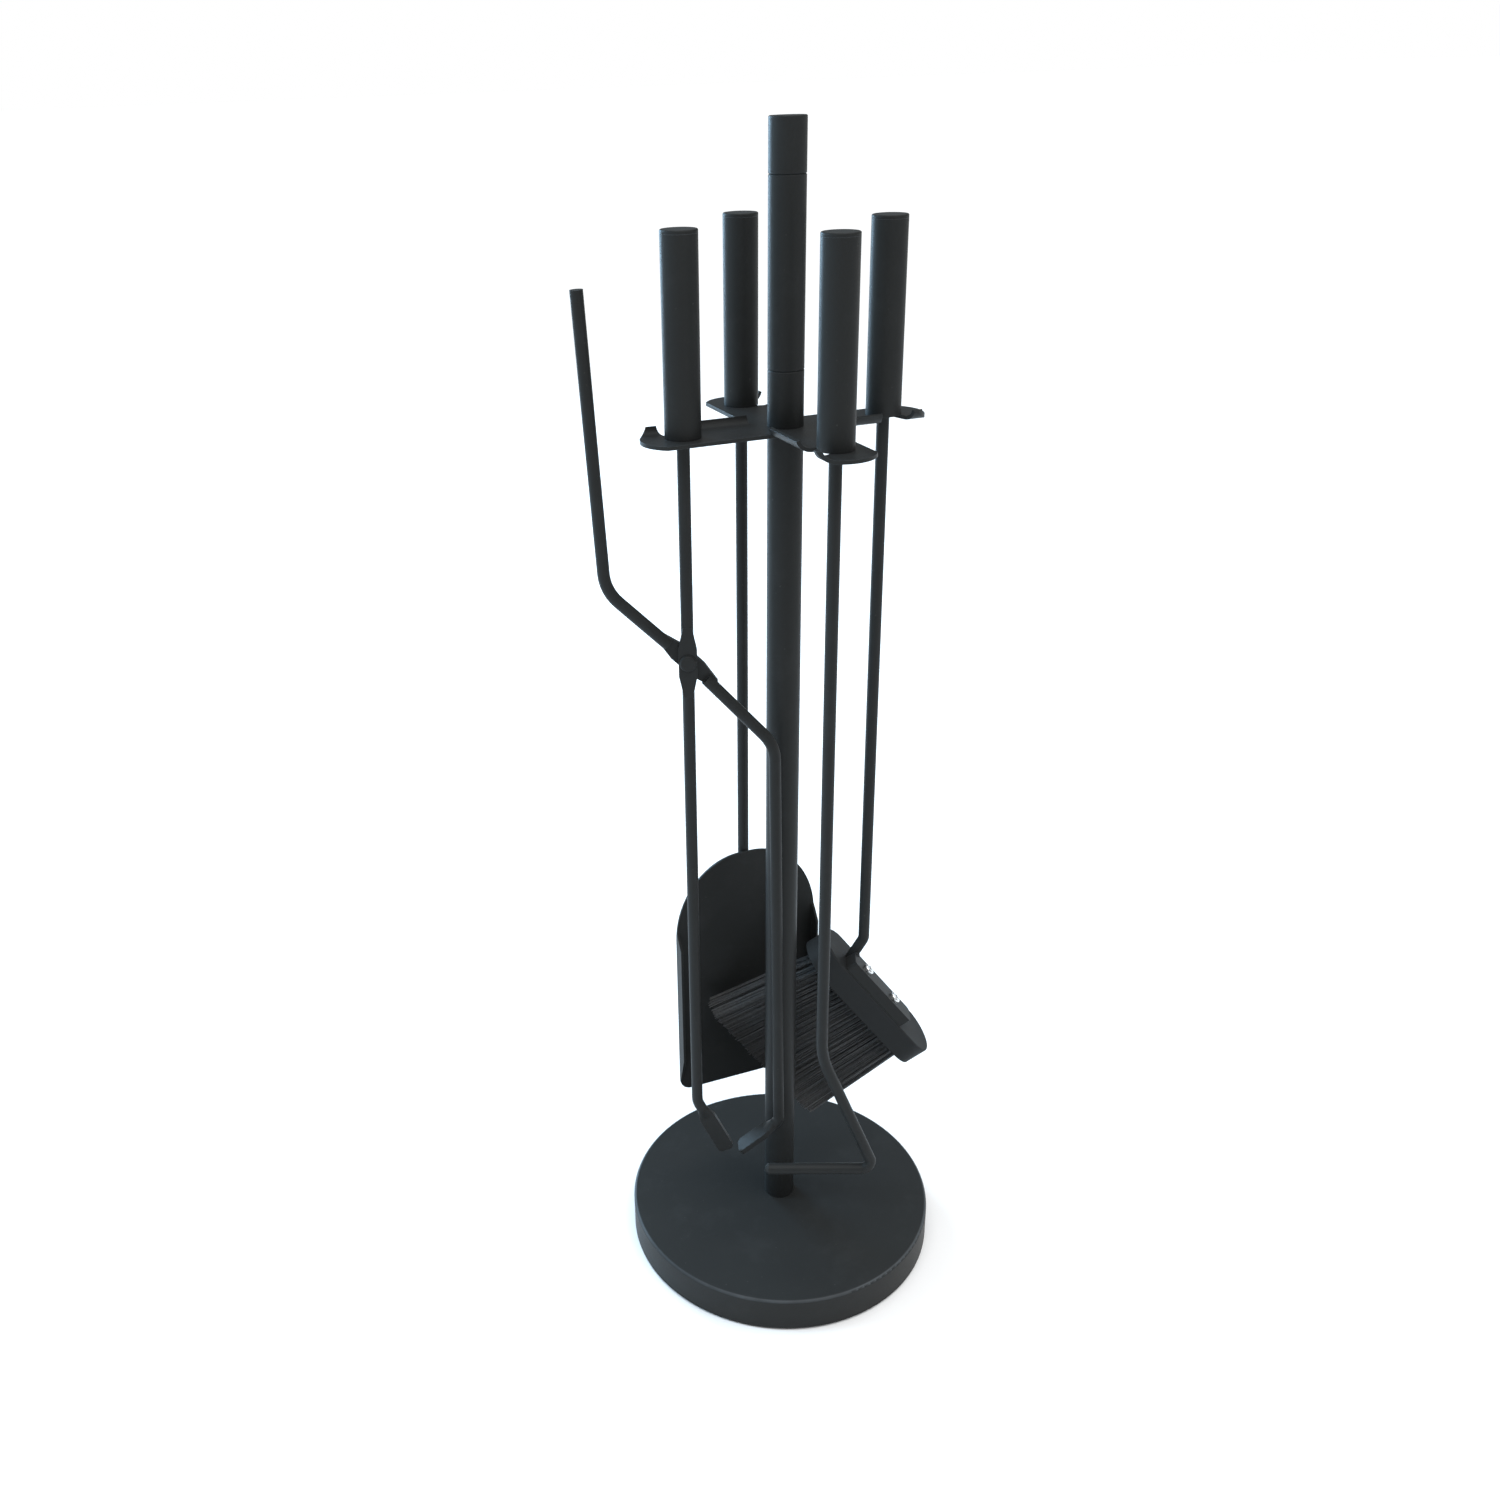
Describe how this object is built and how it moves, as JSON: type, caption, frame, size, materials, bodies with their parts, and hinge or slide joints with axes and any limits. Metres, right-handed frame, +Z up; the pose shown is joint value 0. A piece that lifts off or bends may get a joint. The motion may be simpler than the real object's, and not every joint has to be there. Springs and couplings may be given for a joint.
{
  "type": "fireplace tool set",
  "caption": "Fireplace tool set in matte black steel: a round-based stand with a slotted holder plate that carries a brush, shovel, tongs and poker.",
  "frame": {"origin": "centre of the base's underside, on the post's axis", "axes": "+Z up along the post; +X towards the brush, +Y towards the shovel, -X towards the tongs, -Y towards the poker"},
  "size_m": [0.2144, 0.2, 0.707],
  "materials": {
    "black_coat": "fine matte black powder coat on steel",
    "plain_steel": "zinc plated, hidden inside",
    "screws": "bright zinc plated",
    "pad": "matte foam rubber",
    "brush_block": "satin black",
    "bristles": "black synthetic fibre"
  },
  "bodies": {
    "stand": {"base_pad": "pad", "base_disc": "black_coat", "base_washer": "plain_steel", "base_bolt": "plain_steel", "post_foot_insert": "plain_steel", "post_lower_tube": "black_coat", "post_neck_insert": "plain_steel", "holder_plate": "black_coat", "plate_stud": "plain_steel", "post_spacer": "black_coat", "middle_foot_insert": "plain_steel", "post_middle_tube": "black_coat", "middle_top_insert": "plain_steel", "top_stud": "plain_steel", "post_top_cap": "black_coat"},
    "brush": {"brush_handle": "black_coat", "brush_handle_cap": "black_coat", "brush_handle_plug": "plain_steel", "brush_rod": "black_coat", "brush_bracket": "black_coat", "brush_screws": "screws", "brush_block": "brush_block", "brush_bristles": "bristles"},
    "shovel": {"shovel_handle": "black_coat", "shovel_handle_cap": "black_coat", "shovel_handle_plug": "plain_steel", "shovel_rod": "black_coat", "shovel_blade": "black_coat"},
    "tongs": {"tongs_handle": "black_coat", "tongs_handle_cap": "black_coat", "tongs_handle_plug": "plain_steel", "tongs_fixed_arm": "black_coat", "tongs_rivet": "black_coat"},
    "tongs_lever": {"tongs_moving_arm": "black_coat"},
    "poker": {"poker_handle": "black_coat", "poker_handle_cap": "black_coat", "poker_handle_plug": "plain_steel", "poker_rod": "black_coat"}
  },
  "joints": [
    {"name": "brush_lift", "type": "slide", "parent": "stand", "child": "brush", "axis": [0, 0, 1], "range_m": [0, 0.06]},
    {"name": "shovel_lift", "type": "slide", "parent": "stand", "child": "shovel", "axis": [0, 0, 1], "range_m": [0, 0.06]},
    {"name": "tongs_lift", "type": "slide", "parent": "stand", "child": "tongs", "axis": [0, 0, 1], "range_m": [0, 0.06]},
    {"name": "poker_lift", "type": "slide", "parent": "stand", "child": "poker", "axis": [0, 0, 1], "range_m": [0, 0.06]},
    {"name": "tongs_pivot", "type": "hinge", "parent": "tongs", "child": "tongs_lever", "pos_m": [-0.059, 0, 0.427], "axis": [-0.342, -0.9397, 0], "range_deg": [-0.5, 20]}
  ]
}
